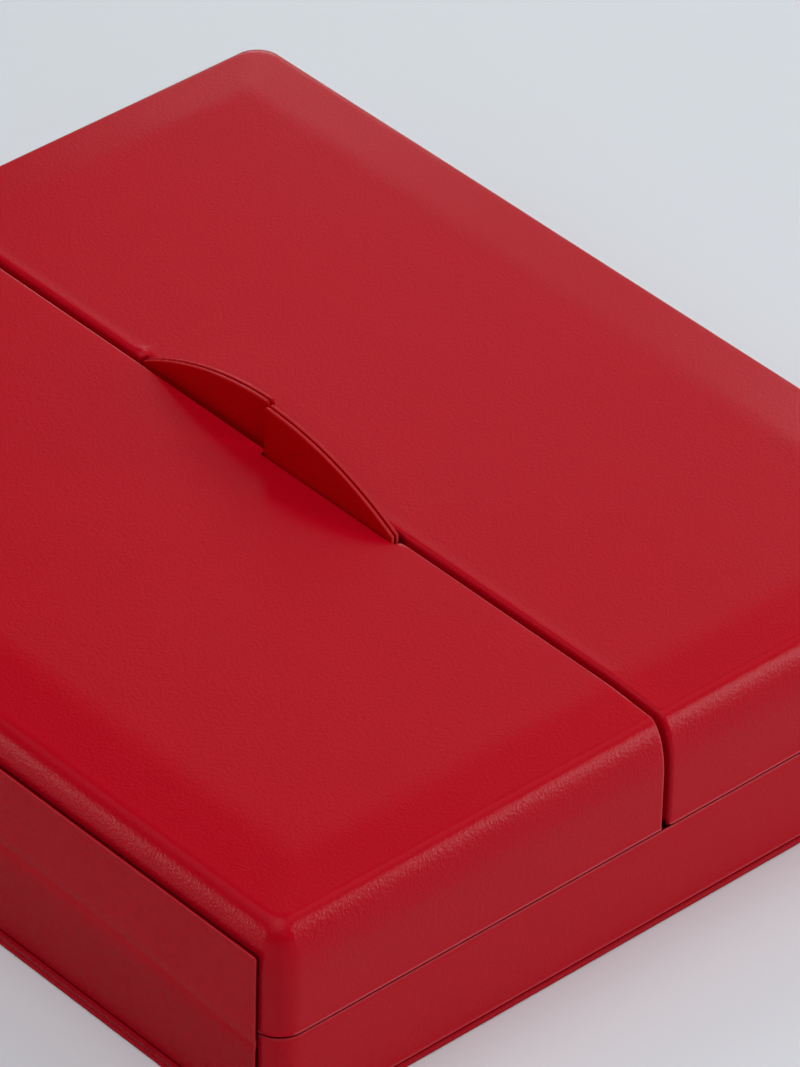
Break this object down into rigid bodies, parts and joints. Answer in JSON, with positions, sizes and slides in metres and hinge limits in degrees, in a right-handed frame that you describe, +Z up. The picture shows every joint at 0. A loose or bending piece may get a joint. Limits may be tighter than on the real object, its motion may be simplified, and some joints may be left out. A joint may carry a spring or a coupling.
{
  "type": "necklace case",
  "caption": "Flat leather-covered necklace case whose top parts along the middle into half lids that hinge outwards and are pulled open by upright quarter-moon tabs.",
  "frame": {"origin": "centre of the case's outline on the surface it rests on, under the middle of the seam", "axes": "+X across the case to the right lid's hinge side, +Y along the seam towards the clasp end, +Z up"},
  "size_m": [0.2204, 0.252, 0.0638],
  "materials": {
    "leather": "smooth dyed calf leather, semi-gloss",
    "suede": "dark suede",
    "wood": "bare lime wood",
    "card": "grey board",
    "foam": "thin padding",
    "velvet": "short-pile velvet",
    "satin": "satin",
    "brass": "polished",
    "steel": "nickel-plated magnet"
  },
  "bodies": {
    "base": {"base_board": "leather", "base_suede": "suede", "base_leather": "leather", "base_side_walls": "wood", "base_end_walls": "wood", "base_floor": "wood", "base_lining": "velvet", "base_magnets": "steel", "pad_board": "card", "pad_field": "velvet", "neck_form": "velvet", "chain_hooks": "brass", "ribbon_pull": "satin", "lower_hinge_card_left": "card", "lower_hinge_leather_left": "leather", "lower_hinge_card_right": "card", "lower_hinge_leather_right": "leather"},
    "lid_left": {"lid_side_wall_left": "wood", "lid_end_walls_left": "wood", "seam_rail_left": "wood", "lid_top_board_left": "wood", "lid_padding_left": "foam", "lid_leather_left": "leather", "lid_wall_lining_left": "satin", "lid_lining_pad_left": "satin", "lid_magnets_left": "steel", "upper_hinge_card_left": "card", "upper_hinge_leather_left": "leather", "tab_card_left": "card", "tab_front_leaf_left": "leather", "tab_back_leaf_left": "leather"},
    "lid_right": {"lid_side_wall_right": "wood", "lid_end_walls_right": "wood", "seam_rail_right": "wood", "lid_top_board_right": "wood", "lid_padding_right": "foam", "lid_leather_right": "leather", "lid_wall_lining_right": "satin", "lid_lining_pad_right": "satin", "lid_magnets_right": "steel", "upper_hinge_card_right": "card", "upper_hinge_leather_right": "leather", "tab_card_right": "card", "tab_front_leaf_right": "leather", "tab_back_leaf_right": "leather"}
  },
  "joints": [
    {"name": "lid_left_hinge", "type": "hinge", "parent": "base", "child": "lid_left", "pos_m": [-0.1083, 0, 0.0242], "axis": [0, -1, 0], "range_deg": [0, 160]},
    {"name": "lid_right_hinge", "type": "hinge", "parent": "base", "child": "lid_right", "pos_m": [0.1083, 0, 0.0242], "axis": [0, 1, 0], "range_deg": [0, 160]}
  ]
}
